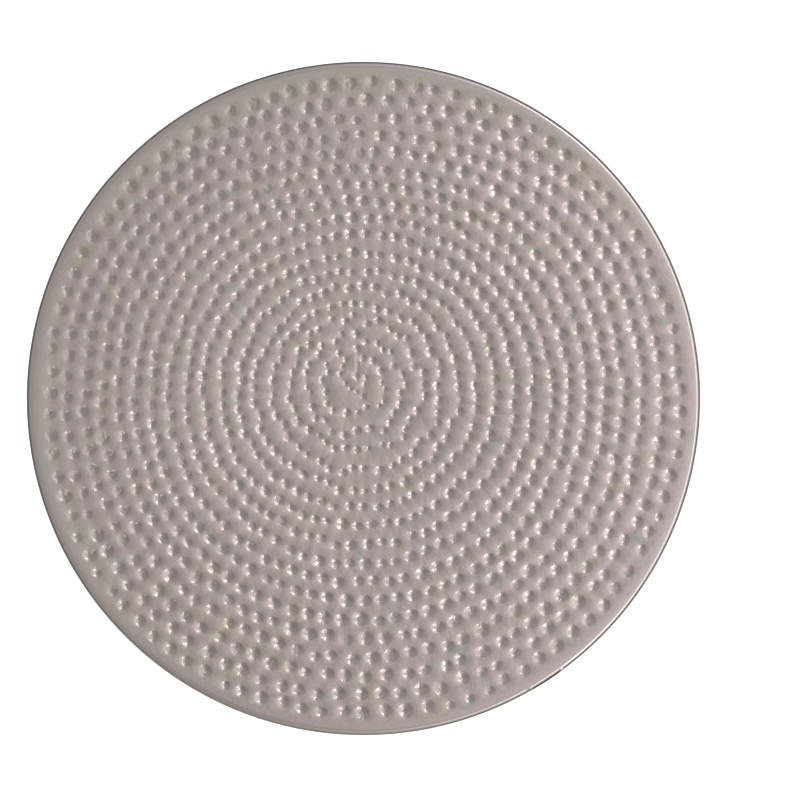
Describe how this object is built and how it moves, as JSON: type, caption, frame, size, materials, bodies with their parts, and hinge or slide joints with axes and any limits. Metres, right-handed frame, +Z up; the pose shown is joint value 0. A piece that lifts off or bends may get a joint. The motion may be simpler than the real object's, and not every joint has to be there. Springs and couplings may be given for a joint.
{
  "type": "paten plate",
  "caption": "Round, very shallow dished paten plate of satin silver sheet with a plain turned-up border and a fine soldered edge wire.",
  "frame": {"origin": "middle of the flat underside that the plate rests on", "axes": "+Z up along the plate's axis, out of its hammered face; the solder joint of the edge wire lies 57 degrees from +X towards -Y"},
  "size_m": [0.15, 0.15, 0.0028],
  "materials": {
    "satin_silver": "satin",
    "burnished_silver": "gloss",
    "silver_solder": "satin"
  },
  "bodies": {
    "root": {"plate_disc": "satin_silver", "edge_wire": "burnished_silver", "wire_joint": "silver_solder"}
  },
  "joints": []
}
